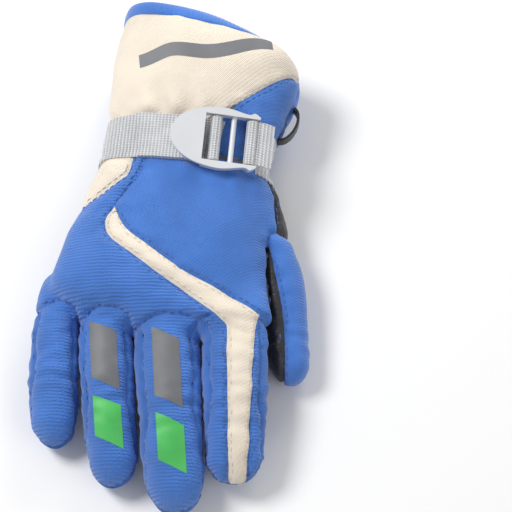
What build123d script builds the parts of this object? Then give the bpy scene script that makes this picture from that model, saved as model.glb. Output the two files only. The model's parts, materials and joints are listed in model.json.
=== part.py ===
"""A child's padded ski glove for the right hand, lying palm down.

+Z is up, the fingers point along -Y and the thumb is on the +X side. The origin is on
the surface that the glove rests on, under the middle of its bounding box. Units are mm.

Every tube (sleeve, finger, thumb) is a faceted solid through superellipse rings. The
same rings, shrunk by an inset, give the inside of each layer, so shell and lining nest.
The shell of each tube is then cut into its sewn panels, and all layers are cut at the
flex joints.
"""

import math
import os
from functools import cache

from build123d import *

# ---- fabric layers -------------------------------------------------------------------
SHELL = 0.9  # woven outer fabric with its backing
EASE = 0.1  # loose space between shell and lining
SLEEVE_LINING = 3.4  # fleece lining with wadding, in the hand and cuff
FINGER_LINING = 2.5
FILM = 0.35  # heat-pressed reflective patch

# ---- joints ----------------------------------------------------------------------------
JOINT_GAP = 0.5  # between two bodies at a joint's axis
KNUCKLE_FLEX = 60.0  # degrees of travel
MIDDLE_FLEX = 70.0
WRIST_FLEX = 25.0
FLEX_MARGIN = 3.0  # extra opening of each flex notch, degrees
THUMB_SWING = 35.0
BUCKLE_TILT = 35.0
TAIL_TRAVEL = 8.0

# ---- sleeve: hand and cuff -------------------------------------------------------------
# centre x, y, z, yaw, roll, half width, half height; yaw turns the ring about Z
SLEEVE_RINGS = [
    (23.5, 113.0, 26.5, -11, 0, 44.0, 26.0),
    (18.5, 88.0, 26.0, -11, 0, 44.0, 25.5),
    (12.5, 66.0, 23.5, -10, 0, 40.0, 22.0),
    (7.5, 48.0, 21.5, -7, 0, 37.3, 19.5),
    (5.8, 36.0, 21.0, -5, -2, 37.6, 18.5),
    (3.5, 18.0, 21.5, -2, -4, 41.0, 18.8),
    (-1.0, -8.0, 21.5, 0, -5, 48.6, 18.2),
    (-4.5, -30.0, 20.0, 0, -5, 52.6, 14.6),
    (-5.0, -41.0, 19.2, 0, -5, 52.9, 13.2),
]
SLEEVE_POWER = 2.5
SPLIT_SLOPE = 5.0  # degrees: the seam between back and palm climbs towards the thumb
SPLIT_Z = 20.5  # height of that seam at x = 0
RIM_AT = (22.8, 110.0)  # a point on the plane of the cuff's mouth
RIM_YAW = -11.0
BINDING_WIDTH = 5.0
BINDING = 0.6

# ---- wrist joint and strap ---------------------------------------------------------------
WRIST_AT = (6.6, 36.0, 21.0)
STRAP_YAW = -6.0
STRAP_S = 14.5  # strap's centre line, measured from the wrist axis along the sleeve
WEB_WIDTH = 20.0
WEB = 1.2
WEB_LIFT = 0.3  # clearance between webbing and shell, and between webbing layers

# ---- fingers --------------------------------------------------------------------------
# knuckle x, y, z, yaw; lengths knuckle to middle joint and on to the tip; pitch of each
# length; half widths at knuckle, middle joint, tip; half heights at the same places
FINGERS = {
    "index": (32.3, -34.5, 22.8, -0.5, 32, 37, 2, 16, (14.0, 14.1, 12.4), (12.2, 11.8, 9.6)),
    "middle": (1.4, -36.0, 20.5, 4.0, 38, 42, 0, 15, (14.0, 14.0, 12.4), (12.4, 12.0, 9.6)),
    "ring": (-26.6, -32.0, 18.4, 5.0, 33, 39, 0, 13, (11.5, 11.9, 10.6), (11.6, 11.2, 9.2)),
    "little": (-48.4, -27.5, 16.2, 0.5, 26, 32, 0, 12, (9.2, 11.6, 10.0), (10.6, 10.6, 8.8)),
}
FINGER_POWER = 2.35
AXIS_DROP = 4.0  # the flex axis lies this far below the finger's centre line
GUSSET_TOP = 0.66  # the gussets reach this share of the half height, above
GUSSET_BOTTOM = 0.38  # and below the finger's centre line
BACK_OF_KNUCKLE = 7.0  # the finger's rings start this far behind the knuckle
OVERLAP = 9.0  # the two lengths are lofted this far past the middle joint, then cut

# how far the cut in front of each knuckle reaches to either side of the finger's middle
KNUCKLE_REACH = {"index": (-60, 15.6), "middle": (-15.6, 15.4), "ring": (-13.4, 11.4),
                 "little": (-11.4, 60)}

# ---- thumb ------------------------------------------------------------------------------
THUMB_RINGS = [
    (38.0, 40.0, 17.0, 8, 9.0, 11.0),
    (42.0, 27.0, 15.6, 12, 10.2, 12.0),
    (47.2, 10.0, 13.8, 13, 11.0, 12.6),
    (51.6, -8.0, 12.4, 8, 10.4, 11.7),
    (54.8, -26.0, 11.0, 2, 8.9, 10.4),
    (55.7, -42.0, 10.2, -4, 8.3, 9.6),
]
THUMB_TIP = (54.3, -56.5, 9.6, -8)
THUMB_HINGE = (51.5, 6.0, 13.6)  # upright axis, a third of the thumb's width from its outside
THUMB_YAW = 11.0
THUMB_CLEARANCE = 0.7

# ---- panels on the back of the hand, as plan outlines --------------------------------------
CUFF_SEAM = [(-75, -2), (-36, 21), (-18, 32.5), (1, 46), (40, 72), (64, 88), (90, 104)]
YOKE_SEAM = [(-22, 18.5), (-16, 28), (-4, 38.5), (14, 54.7)]
STRIPE_UPPER = [(-22, 18.5), (-17, 7.5), (8, -11.5), (32, -24), (43, -31)]
STRIPE_LOWER = [(28, -34), (19, -28), (-1, -14), (-24, 3.5), (-26.5, 11.5), (-22, 18.5)]
STRIPE_ON_FINGER = (28.0, 43.0)  # x range of the stripe along the index finger
STRIPE_TAPER = (29.5, 37.0)  # the same at the fingertip
CUFF_FAR = [(90, 200), (-90, 200), (-90, -2)]
PALM_GRIP = [(-31, 33), (-37, 16), (-41, -2), (-34, -16), (-8, -24), (22, -27), (40, -27), (60, -20),
             (60, 33)]

# ---- reflective patches: along the finger, from the knuckle; then half width and slant ----
PATCHES = {
    "middle": {"grey": (3.5, 34.5), "green": (41.5, 61.5)},
    "ring": {"grey": (2.5, 29.5), "green": (36.0, 54.5)},
}
PATCH_HALF_WIDTH = 5.9
PATCH_SLANT = 6.5

# ---- buckle -------------------------------------------------------------------------------
BUCKLE_U = 14.0  # buckle's centre along the strap, from the wrist axis point
BUCKLE_LENGTH = 40.0
BUCKLE_WIDTH = 27.0
BUCKLE_LIFT = 1.6  # clearance between the buckle and the webbing under it
TAB_LENGTH = 15.0
WINDOW = (-5.0, 20.1, 21.4)  # the frame's window: start, end and clear width
FRAME_HEIGHT = 5.2
TAB_THICK = 2.4
BAR_R = 1.2
BAR_Z = 2.0
BARS = (0.6, 8.4, 17.0)  # gripping bar, middle bar and end bar, from the buckle's centre
BUCKLE_SLOPE = 11.0  # degrees down towards the thumb side
CUFF_FLARE = 13.0  # degrees that the sleeve climbs across the strap, towards the mouth

# ---- hang loop ------------------------------------------------------------------------------
HANG_LOOP_AT = (55.32, 66.5, 24.0, -25.5)
HANG_LOOP_LENGTH = 17.0
HANG_LOOP_RISE = 4.5
HANG_TAPE = 5.0
HANG_THICK = 1.2

# ---- printed motif on the cuff: a wave of two plain bands --------------------------------------
PRINT = [(-12, 84), (2, 92), (18, 90), (34, 93), (48, 100)]
PRINT_WIDTH = 7.0
PRINT_FILM = 0.3

RING_POINTS = 28  # corners of each ring
RUN_ON = 6.0  # the sleeve's solids run on this far past both of its open ends
DOME_ANGLES = (30, 54, 75)  # rings that round off a fingertip
CRUMB = 20.0  # cubic millimetres: a scrap this small isn't a piece of fabric
BIG = 200.0


def turned(x, y, z, yaw, roll=0.0, pitch=0.0):
    """A frame at a point: its Y runs along the tube, X across it, Z up."""
    return Location((x, y, z), (pitch, roll, yaw))


def ring_points(at, half_w, half_h, power):
    """Corners of a superellipse across the tube, in the X-Z plane of a frame."""
    points = []
    for i in range(RING_POINTS):
        a = 2 * math.pi * (i + 0.5) / RING_POINTS
        c, s = math.cos(a), math.sin(a)
        u = half_w * math.copysign(abs(c) ** (2 / power), c)
        w = half_h * math.copysign(abs(s) ** (2 / power), s)
        points.append((at * Pos(u, 0, w)).position)
    return points


def flat_face(points):
    return Face(Wire.make_polygon(points, close=True))


def loft_rings(rings, inset, power):
    """A closed faceted solid through (frame, half width, half height) rings, less an inset."""
    loops = [ring_points(at, a - inset, b - inset, power) for at, a, b in rings]
    faces = [flat_face(loops[0]), flat_face(loops[-1])]
    for low, high in zip(loops, loops[1:]):
        for i in range(RING_POINTS):
            k = (i + 1) % RING_POINTS
            faces.append(flat_face([low[i], low[k], high[k]]))
            faces.append(flat_face([low[i], high[k], high[i]]))
    return Solid(Shell(faces))


def prism(points, low=-BIG, high=BIG):
    """A vertical prism over a plan polygon."""
    face = Face(Wire.make_polygon([(x, y, low) for x, y in points], close=True))
    return extrude(face, amount=high - low, dir=(0, 0, 1))


def spline_prism(upper, rest, low=-BIG, high=BIG):
    """A vertical prism whose outline is a smooth curve closed by straight lines."""
    curve = Edge.make_spline([(x, y, low) for x, y in upper])
    line = Wire.make_polygon([(x, y, low) for x, y in [upper[-1], *rest, upper[0]]], close=False)
    return extrude(Face(Wire([curve, *line.edges()])), amount=high - low, dir=(0, 0, 1))


def side_prism(at, outline, half_span=BIG):
    """A prism across the tube over (along, height) points in a frame's vertical plane."""
    face = Face(Wire.make_polygon([(-half_span, y, z) for y, z in outline], close=True))
    return at * extrude(face, amount=2 * half_span, dir=(1, 0, 0))


def solids_of(shape):
    """The shape's solids as one compound, without crumbs left by cutting."""
    kept = [s for s in shape.solids() if s.volume > CRUMB]
    return kept[0] if len(kept) == 1 else Compound(kept)


# ---- sleeve -------------------------------------------------------------------------------
def run_on(ring, neighbour, distance):
    """A ring moved on past the end of its tube, in line with its neighbour."""
    share = distance / abs(ring[1] - neighbour[1])
    return tuple(v + (v - w) * share for v, w in zip(ring, neighbour))


@cache
def sleeve(inset):
    """The tube of hand and cuff. The deeper the inset, the further its open ends run on."""
    rings = list(SLEEVE_RINGS)
    rings[0] = run_on(SLEEVE_RINGS[0], SLEEVE_RINGS[1], RUN_ON + inset)
    rings[-1] = run_on(SLEEVE_RINGS[-1], SLEEVE_RINGS[-2], RUN_ON + inset)
    frames = [(turned(x, y, z, yaw, roll), a, b) for x, y, z, yaw, roll, a, b in rings]
    return loft_rings(frames, inset, SLEEVE_POWER)


def wrist_frame():
    return turned(*WRIST_AT, STRAP_YAW)


def wrist_halves():
    """Keep-prisms for the cuff and the hand, with a bow-tie gap between them."""
    lean = math.tan(math.radians((WRIST_FLEX + FLEX_MARGIN) / 2)) * BIG
    half = JOINT_GAP / 2
    cuff = [(half, 0), (half + lean, BIG), (2 * BIG, BIG), (2 * BIG, -BIG), (half + lean, -BIG)]
    hand = [(-y, z) for y, z in cuff]
    return side_prism(wrist_frame(), cuff), side_prism(wrist_frame(), hand)


def rim_slab(low, high):
    """The part of space between two distances from the cuff's mouth, along the sleeve."""
    at = turned(*RIM_AT, 0, RIM_YAW)
    return at * Pos(0, (low + high) / 2, 0) * Box(BIG, high - low, BIG)


def above_split():
    slope = math.tan(math.radians(SPLIT_SLOPE)) * BIG
    outline = [(-BIG, SPLIT_Z - slope), (BIG, SPLIT_Z + slope), (BIG, BIG), (-BIG, BIG)]
    face = Face(Wire.make_polygon([(x, -BIG, z) for x, z in outline], close=True))
    return extrude(face, amount=2 * BIG, dir=(0, 1, 0))


# ---- fingers ------------------------------------------------------------------------------
class Finger:
    """One finger: its spine, its rings and the prisms that cut it."""

    def __init__(self, name):
        self.name = name
        x, y, z, yaw, self.first, self.second, self.pitch1, self.pitch2, self.wide, self.high = (
            FINGERS[name]
        )
        # the frame's +Y runs from the knuckle to the tip
        self.at = turned(x, y, z, yaw + 180)
        self.total = self.first + self.second

    def spine(self, t):
        """Forward distance and height of the centre line, t mm from the knuckle."""
        forward, height, step = 0.0, 0.0, self.total / 60
        for i in range(round(abs(t) / step)):
            pitch = math.radians(self.pitch_at((i + 0.5) * step))
            forward += step * math.cos(pitch)
            height -= step * math.sin(pitch)
        return (forward, height) if t >= 0 else (t, 0.0)

    def pitch_at(self, t):
        """The pitch turns smoothly from the first value to the second at the middle joint."""
        share = min(1.0, max(0.0, (t - 0.55 * self.first) / (0.9 * self.first)))
        return self.pitch1 + (self.pitch2 - self.pitch1) * share * share * (3 - 2 * share)

    def half_sizes(self, t):
        """Half width and half height t mm from the knuckle, without the rounded tip."""
        tip = self.total - self.high[2]
        if t < self.first:
            share, k = max(0.0, t) / self.first, 0
        else:
            share, k = (t - self.first) / (tip - self.first), 1
        wide = self.wide[k] + (self.wide[k + 1] - self.wide[k]) * share
        return wide, self.high[k] + (self.high[k + 1] - self.high[k]) * share

    def stations(self, inset):
        """(t, half width, half height) of each ring; the last ones round the tip off."""
        dome = self.high[2] * 1.15
        start = self.total - dome
        joint = self.first
        plain = [-BACK_OF_KNUCKLE, 0, joint / 2, joint - OVERLAP, joint, joint + OVERLAP]
        plain += [(joint + OVERLAP + start) / 2, start]
        found = [(t, *self.half_sizes(t)) for t in plain]
        _, a, b = found[-1]
        for angle in DOME_ANGLES:
            share = math.cos(math.radians(angle))
            along = (dome - inset) * math.sin(math.radians(angle))
            found.append((start + along, inset + (a - inset) * share, inset + (b - inset) * share))
        return found

    def rings(self, inset, first, last):
        """The rings of one length. An inset draws the tip back."""
        rings = []
        for t, a, b in self.stations(inset):
            if first <= t <= last:
                forward, height = self.spine(t)
                frame = self.at * Location((0, forward, height), (-self.pitch_at(t), 0, 0))
                rings.append((frame, a, b))
        return rings

    @cache
    def solid(self, part, inset):
        """One length of the finger's tube. An inset pushes its open ends out."""
        if part == "base":
            rings = self.rings(inset, -BACK_OF_KNUCKLE, self.first + OVERLAP)
            rings.append((rings[-1][0] * Pos(0, 1 + inset, 0), *rings[-1][1:]))
        else:
            rings = self.rings(inset, self.first - OVERLAP, self.total)
        rings.insert(0, (rings[0][0] * Pos(0, -1 - inset, 0), *rings[0][1:]))
        return loft_rings(rings, inset, FINGER_POWER)

    def joints(self):
        """(forward, height) of the knuckle axis and of the middle joint's axis."""
        forward, height = self.spine(self.first)
        return (0.0, -AXIS_DROP), (forward, height - AXIS_DROP)

    def notch(self, joint, side):
        """The outline of one side of a flex joint, from above the axis to below it."""
        (forward, height), flex = joint
        lean = math.tan(math.radians((flex + FLEX_MARGIN) / 2)) * BIG
        edge = forward + side * JOINT_GAP / 2
        return [(edge, BIG), (edge, height), (edge + side * lean, height - BIG)]

    def keeper(self, part):
        """The prism that keeps the base length or the tip length of the finger."""
        knuckle, middle = self.joints()
        after = self.notch((middle, MIDDLE_FLEX), 1)
        if part == "tip":
            return side_prism(self.at, [*after, (2 * BIG, -BIG), (2 * BIG, BIG)])
        near = self.notch((knuckle, KNUCKLE_FLEX), 1)
        before = self.notch((middle, MIDDLE_FLEX), -1)
        return side_prism(self.at, self.crossing_clipped(near, before))

    @staticmethod
    def crossing_clipped(near, before):
        """The base length's outline: its two notches meet at a point below the finger."""
        (_, _), (x1, z1), (x2, z2) = near
        (_, _), (x3, z3), (x4, z4) = before
        slope1, slope2 = (x2 - x1) / (z1 - z2), (x4 - x3) / (z3 - z4)
        depth = (x3 - x1 + slope2 * (z3 - z1)) / (slope1 - slope2) if slope1 != slope2 else BIG
        meet = (x1 + slope1 * depth, z1 - depth)
        return [near[0], near[1], meet, before[1], before[0]]

    def hand_cut(self, left, right):
        """What the hand gives up in front of this knuckle, between two offsets across."""
        (forward, height), _ = self.joints()
        outline = self.notch(((forward, height), KNUCKLE_FLEX), -1)
        outline += [(2 * BIG, -BIG), (2 * BIG, BIG)]
        face = Face(Wire.make_polygon([(left, y, z) for y, z in outline], close=True))
        return self.at * extrude(face, amount=right - left, dir=(1, 0, 0))

    def seam(self, part, share):
        """Both ends of a straight seam, at a share of the half height, run past the part."""
        ends = []
        for t, close in ((0, 1), (self.first, 1)) if part == "base" else ((self.first, 1), (self.total, 0.15)):
            forward, height = self.spine(t)
            ends.append((forward, height + self.half_sizes(t)[1] * share * close))
        (y0, z0), (y1, z1) = ends
        slope = (z1 - z0) / (y1 - y0)
        back, ahead = 30, 30 if part == "base" else 5
        return (y0 - back, z0 - back * slope), (y1 + ahead, z1 + ahead * slope)

    def region(self, part, label):
        """The prism over the back, the palm or the gussets of one length."""
        lower, upper = self.seam(part, -GUSSET_BOTTOM), self.seam(part, GUSSET_TOP)
        if label == "gussets":
            return side_prism(self.at, [*lower, *upper[::-1]])
        line, far = (upper, BIG) if label == "back" else (lower, -BIG)
        return side_prism(self.at, [*line, (line[1][0], far), (line[0][0], far)])

    def panel(self, part, label):
        whole = self.solid(part, 0) & self.keeper(part) & self.region(part, label)
        return whole - self.solid(part, SHELL)

    def lining(self, part):
        outer = SHELL + EASE
        whole = self.solid(part, outer) & self.keeper(part)
        return whole - self.solid(part, outer + FINGER_LINING)

    def patch(self, part, start, end):
        """A film on the finger's back: a parallelogram with slanted ends."""
        half, slant = PATCH_HALF_WIDTH, PATCH_SLANT / 2
        corners = [(-half, start - slant), (half, start + slant), (half, end + slant), (-half, end - slant)]
        # across is mirrored, because the finger's frame looks from knuckle to tip
        face = Face(Wire.make_polygon([(-x, y, 0) for x, y in corners], close=True))
        column = self.at * extrude(face, amount=BIG, dir=(0, 0, 1))
        return (self.solid(part, -FILM) & column & self.keeper(part)) - self.solid(part, -0.02)


# ---- thumb ----------------------------------------------------------------------------------
@cache
def thumb_solid(inset):
    rings = [(turned(x, y, z, yaw), a, b) for x, y, z, yaw, a, b in THUMB_RINGS]
    rings.insert(0, (Pos(0, 1 + inset, 0) * rings[0][0], *rings[0][1:]))
    x0, y0, z0, _, a, b = THUMB_RINGS[-1]
    x1, y1, z1, yaw = THUMB_TIP
    for angle in DOME_ANGLES:
        share, along = math.cos(math.radians(angle)), math.sin(math.radians(angle))
        reach = along * (1 - inset / math.hypot(x1 - x0, y1 - y0))
        at = turned(x0 + (x1 - x0) * reach, y0 + (y1 - y0) * reach, z0 + (z1 - z0) * reach, yaw)
        rings.append((at, inset + (a - inset) * share, inset + (b - inset) * share))
    return loft_rings(rings, inset, FINGER_POWER)


def thumb_grip_side():
    """The inner half of the thumb, towards the palm, as a plan prism along its middle."""
    middle = [(x - 1.5, y) for x, y, *_ in THUMB_RINGS] + [(THUMB_TIP[0] - 1.5, THUMB_TIP[1] - 8)]
    return spline_prism(middle, [(-20, -80), (-20, 60)])


def thumb_side(ahead):
    """The plan prism ahead of the thumb's hinge, or the one behind it: each is relieved
    on the outer side, so that the thumb can swing outwards."""
    lean = math.tan(math.radians((THUMB_SWING + FLEX_MARGIN) / 2)) * BIG
    way = -1 if ahead else 1
    edge = way * JOINT_GAP / 2
    outline = [(-BIG, edge), (0, edge), (BIG, edge + way * lean), (BIG, way * 2 * BIG),
               (-BIG, way * 2 * BIG)]
    face = Face(Wire.make_polygon([(x, y, -BIG) for x, y in outline], close=True))
    return turned(*THUMB_HINGE, THUMB_YAW) * extrude(face, amount=2 * BIG, dir=(0, 0, 1))


def thumb_nodes():
    ahead = thumb_side(True)
    whole = thumb_solid(0) & ahead
    grip = thumb_grip_side()
    inner = SHELL + EASE
    lining = (thumb_solid(inner) & ahead) - thumb_solid(inner + FINGER_LINING)
    return {
        "thumb_grip": (whole & grip) - thumb_solid(SHELL),
        "thumb_back": (whole - grip) - thumb_solid(SHELL),
        "thumb_lining": lining,
    }


# ---- strap and buckle -------------------------------------------------------------------------
def strap_frame():
    """Origin on the strap's centre line over the wrist axis point: X along, Y across."""
    return wrist_frame() * Pos(0, STRAP_S, 0)


def strap_slab(half_width=WEB_WIDTH / 2):
    return strap_frame() * Box(BIG, 2 * half_width, BIG)


def across(low, high):
    """A slab of the strap's length, between two distances along it."""
    return strap_frame() * Pos((low + high) / 2, 0, 0) * Box(high - low, BIG, BIG)


def strap_top(u):
    """Height of the sleeve's surface over the strap's centre line, u mm along it."""
    x, _, z, _, _, a, b = SLEEVE_RINGS[3]
    centre = (strap_frame() * Pos(u, 0, 0)).position.X
    share = min(0.999, abs(centre - x) / a)
    return z + b * (1 - share**SLEEVE_POWER) ** (1 / SLEEVE_POWER)


def buckle_frame():
    """The buckle's own frame: X along the strap, its underside at Z = 0."""
    lift = strap_top(BUCKLE_U) - WRIST_AT[2] + 2 * (WEB + WEB_LIFT) + BUCKLE_LIFT
    return strap_frame() * Location((BUCKLE_U, 0, lift), (CUFF_FLARE, BUCKLE_SLOPE, 0))


def buckle_outline():
    """The frame's plan: a D-shaped thumb tab that runs into two bowed rails."""
    half_l, half_w = BUCKLE_LENGTH / 2, BUCKLE_WIDTH / 2
    top = [(-half_l, 0), (-half_l + 2.6, 6.8), (-half_l + 9, 11.3), (-3, half_w), (8, half_w),
           (16, 12.6), (half_l, 11.6)]
    left = Edge.make_spline([(x, y, 0) for x, y in top], tangents=[(0, 1, 0), (0.8, -0.6, 0)])
    right = left.mirror(Plane.XZ)
    end = Edge.make_line((half_l, 11.6, 0), (half_l, -11.6, 0))
    return Face(Wire([left, end, right]))


def buckle():
    body = extrude(buckle_outline(), amount=FRAME_HEIGHT, dir=(0, 0, 1))
    start, end, width = WINDOW
    body -= Pos((start + end) / 2, 0, 0) * Box(end - start, width, 4 * FRAME_HEIGHT)
    # the tab is thinner than the rails, and open underneath for the webbing
    tab_end = -BUCKLE_LENGTH / 2 + TAB_LENGTH
    under = FRAME_HEIGHT - TAB_THICK
    body -= Pos(tab_end - BIG / 2, 0, under / 2) * Box(BIG, BIG, under)
    for x in BARS:
        body += Pos(x, 0, BAR_Z) * Rot(90, 0, 0) * Cylinder(BAR_R, width + 1)
    return buckle_frame() * body


def ribbon(path, length=WEB_WIDTH, thick=WEB):
    """Webbing over an underside path of (along, height) points in a frame's X-Z plane."""
    upper = []
    last = len(path) - 1
    for i, (x, z) in enumerate(path):
        (x0, z0), (x1, z1) = path[max(i - 1, 0)], path[min(i + 1, last)]
        run = math.hypot(x1 - x0, z1 - z0)
        upper.append((x - thick * (z1 - z0) / run, z + thick * (x1 - x0) / run))
    outline = [(x, -length / 2, z) for x, z in path + upper[::-1]]
    face = Face(Wire.make_polygon(outline, close=True))
    return extrude(face, amount=length, dir=(0, 1, 0))


def arc_path(x, z, radius, start, end, steps=9):
    """Points round a bar, from one angle to another in degrees."""
    angles = [math.radians(start + (end - start) * i / steps) for i in range(steps + 1)]
    return [(x + radius * math.cos(a), z + radius * math.sin(a)) for a in angles]


def strap_loop():
    """The adjusting webbing where it comes up, bends over the gripping bar and goes down."""
    inner = BAR_R + 0.15
    over = arc_path(BARS[0], BAR_Z, inner, 180, 0)
    return buckle_frame() * ribbon([(over[0][0], -0.2), *over, (over[-1][0], -0.2)])


def anchor_fold():
    """The sewn webbing's bend round the end bar, and its drop to the sleeve."""
    inner = BAR_R + WEB_LIFT
    around = arc_path(BARS[2], BAR_Z, inner, -75, -330, 16)
    low = BAR_Z - inner - WEB
    drop = [(BARS[2] - 0.6, low), (BARS[2] + 2.5, low - 0.9), (BARS[2] + 7.0, low - 4.2)]
    folded = ribbon(around) + ribbon(drop)
    return buckle_frame() * folded - sleeve(-WEB_LIFT)


def web_layer(level, low, high):
    """A length of webbing lying on the sleeve, level layers up, between two distances."""
    bottom = WEB_LIFT + level * (WEB + WEB_LIFT)
    ring = sleeve(-bottom - WEB) - sleeve(-bottom)
    return ring & strap_slab() & across(low, high) & above_split()


def strap_nodes():
    loop_x = BUCKLE_U + BARS[0]
    anchor_x = BUCKLE_U + BARS[2]
    tab_left = BUCKLE_U - BUCKLE_LENGTH / 2
    return {
        "strap_band": web_layer(0, -BIG, loop_x + 1.0),
        "strap_tail": web_layer(1, tab_left - 13, tab_left + TAB_LENGTH - 1),
        "strap_anchor": web_layer(0, anchor_x + 3.0, BIG) + anchor_fold(),
        "strap_loop": strap_loop(),
        "buckle": buckle(),
    }


def hang_loop():
    """A narrow tape bent double, its ends sewn to the seam on the thumb side."""
    x, y, z, yaw = HANG_LOOP_AT
    half = HANG_LOOP_LENGTH / 2
    path = [(-half, 0), *arc_path(0, 0, half, 168, 12, 10), (half, 0)]
    flat = [(u, v * HANG_LOOP_RISE / half) for u, v in path]
    upright = turned(x, y, z, yaw) * Rot(0, 90, 0) * Rot(0, 0, 90)
    return upright * ribbon(flat, HANG_TAPE, HANG_THICK)


# ---- assembly ------------------------------------------------------------------------------
def hand_solid(inset, fingers):
    """The hand with the thumb's root, open to the moving thumb and cut at the knuckles."""
    _, hand_keep = wrist_halves()
    moving = thumb_solid(-THUMB_CLEARANCE) & thumb_side(True)
    root = thumb_solid(inset) & thumb_side(False) & hand_keep
    solid = ((sleeve(inset) & hand_keep) - moving) + root
    for name, finger in fingers.items():
        solid -= finger.hand_cut(*KNUCKLE_REACH[name])
    return solid


def ring_around(outer, inner, keep):
    """A hollow length of the sleeve between two insets."""
    return (sleeve(outer) & keep) - sleeve(inner)


def hand_nodes(fingers):
    upper = above_split()
    hand = hand_solid(0, fingers)
    cuff_area = spline_prism(CUFF_SEAM, CUFF_FAR)
    stripe = stripe_on_hand()
    yoke = prism([*YOKE_SEAM, (90, 106), (90, -31), *STRIPE_UPPER[::-1][:-1]])
    grip = prism(PALM_GRIP)
    back, palm = hand & upper, hand - upper
    pieces = {
        "back_yoke": (back & yoke) - cuff_area,
        "back_stripe": back & stripe,
        "back_knuckle_panel": back - yoke - stripe - cuff_area,
        "cuff_back_corner": back & cuff_area,
        "palm_grip": palm & grip,
        "palm_panel": palm - grip,
    }
    nodes = {name: piece - sleeve(SHELL) for name, piece in pieces.items()}
    for name in ("back_yoke", "palm_grip", "palm_panel"):
        nodes[name] -= thumb_solid(SHELL)
    inner = SHELL + EASE
    lining = hand_solid(inner, fingers) - sleeve(inner + SLEEVE_LINING)
    nodes["hand_lining"] = lining - thumb_solid(inner + FINGER_LINING)
    return nodes


def cuff_nodes():
    cuff_keep, _ = wrist_halves()
    upper = above_split()
    whole = sleeve(0) & cuff_keep & rim_slab(-2 * BIG, 0)
    top = whole & upper
    cuff_area = spline_prism(CUFF_SEAM, CUFF_FAR)
    pieces = {
        "cuff_back_panel": top & cuff_area,
        "cuff_gusset": top - cuff_area,
        "cuff_palm_panel": whole - upper,
    }
    nodes = {name: piece - sleeve(SHELL) for name, piece in pieces.items()}
    inner = SHELL + EASE
    whole_lining = sleeve(inner) & cuff_keep & rim_slab(-2 * BIG, 0)
    nodes["cuff_lining"] = whole_lining - sleeve(inner + SLEEVE_LINING)
    innermost = inner + SLEEVE_LINING
    binding = ring_around(-BINDING, innermost + BINDING, rim_slab(-BINDING_WIDTH, BINDING))
    core = ring_around(-0.05, innermost + 0.05, rim_slab(-2 * BINDING_WIDTH, 0.05))
    nodes["cuff_binding"] = binding - core
    clear_of_binding = rim_slab(-2 * BIG, -BINDING_WIDTH - 0.3)
    motif = sleeve(-PRINT_FILM) & upper & wave_prism() & cuff_keep & clear_of_binding
    nodes["cuff_print"] = motif - sleeve(-0.02)
    return nodes


def wave_prism():
    """The printed band's plan: a smooth wave of constant width."""
    middle = Edge.make_spline([(x, y, -BIG) for x, y in PRINT])
    edges = []
    for side in (-1, 1):
        points = []
        for i in range(9):
            p, t = middle @ (i / 8), middle % (i / 8)
            points.append((p.X - side * t.Y * PRINT_WIDTH / 2, p.Y + side * t.X * PRINT_WIDTH / 2, -BIG))
        edges.append(Edge.make_spline(points))
    ends = [Edge.make_line(edges[0] @ k, edges[1] @ k) for k in (0, 1)]
    return extrude(Face(Wire([edges[0], ends[1], edges[1], ends[0]])), amount=2 * BIG, dir=(0, 0, 1))


def stripe_on_hand():
    """The cream band's chevron across the back of the hand, as a plan prism."""
    low = -60
    return prism([*STRIPE_UPPER, (STRIPE_ON_FINGER[1] + 10, low), (STRIPE_ON_FINGER[0], low),
                  *STRIPE_LOWER[:-1]])


def stripe_on_finger():
    """The cream band along the index finger, as a plan prism that narrows to the tip."""
    inner, outer = STRIPE_ON_FINGER
    tip_inner, tip_outer = STRIPE_TAPER
    return prism([(inner, -20), (outer, -20), (tip_outer, -115), (tip_inner, -115)])


def finger_nodes(finger):
    nodes = {}
    for part in ("base", "tip"):
        prefix = f"{finger.name}_{part}"
        for label in ("back", "palm", "gussets"):
            nodes[f"{prefix}_{label}"] = finger.panel(part, label)
        nodes[f"{prefix}_lining"] = finger.lining(part)
        if finger.name == "index":
            stripe = stripe_on_finger()
            nodes[f"{prefix}_stripe"] = nodes[f"{prefix}_back"] & stripe
            nodes[f"{prefix}_back"] -= stripe
    for colour, (start, end) in PATCHES.get(finger.name, {}).items():
        part = "base" if colour == "grey" else "tip"
        nodes[f"{finger.name}_patch_{colour}"] = finger.patch(part, start, end)
    return nodes


def build():
    """Every node as a solid, in the design frame."""
    fingers = {name: Finger(name) for name in FINGERS}
    nodes = {**hand_nodes(fingers), **cuff_nodes()}
    for finger in fingers.values():
        nodes.update(finger_nodes(finger))
    nodes.update(thumb_nodes())
    nodes.update(strap_nodes())
    nodes["hang_loop"] = hang_loop()
    return {name: solids_of(shape) for name, shape in nodes.items()}


def shift_to_origin(nodes):
    """The move that puts the origin under the middle of the bounding box."""
    box = Compound(list(nodes.values())).bounding_box()
    return Pos(-(box.min.X + box.max.X) / 2, -(box.min.Y + box.max.Y) / 2, -box.min.Z)


nodes = build()
shift = shift_to_origin(nodes)
os.makedirs("parts", exist_ok=True)
for node_name, node_shape in nodes.items():
    export_step(shift * node_shape, f"parts/{node_name}.step")
print("shift", [round(v, 3) for v in shift.position], "nodes", len(nodes))
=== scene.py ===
"""The ski glove's look: one soft skin grown round the frame's solids, cut into sewn panels."""

import json
import math

import bmesh
import bpy
import numpy as np
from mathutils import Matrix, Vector
from mathutils.bvhtree import BVHTree
from mathutils.kdtree import KDTree

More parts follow.
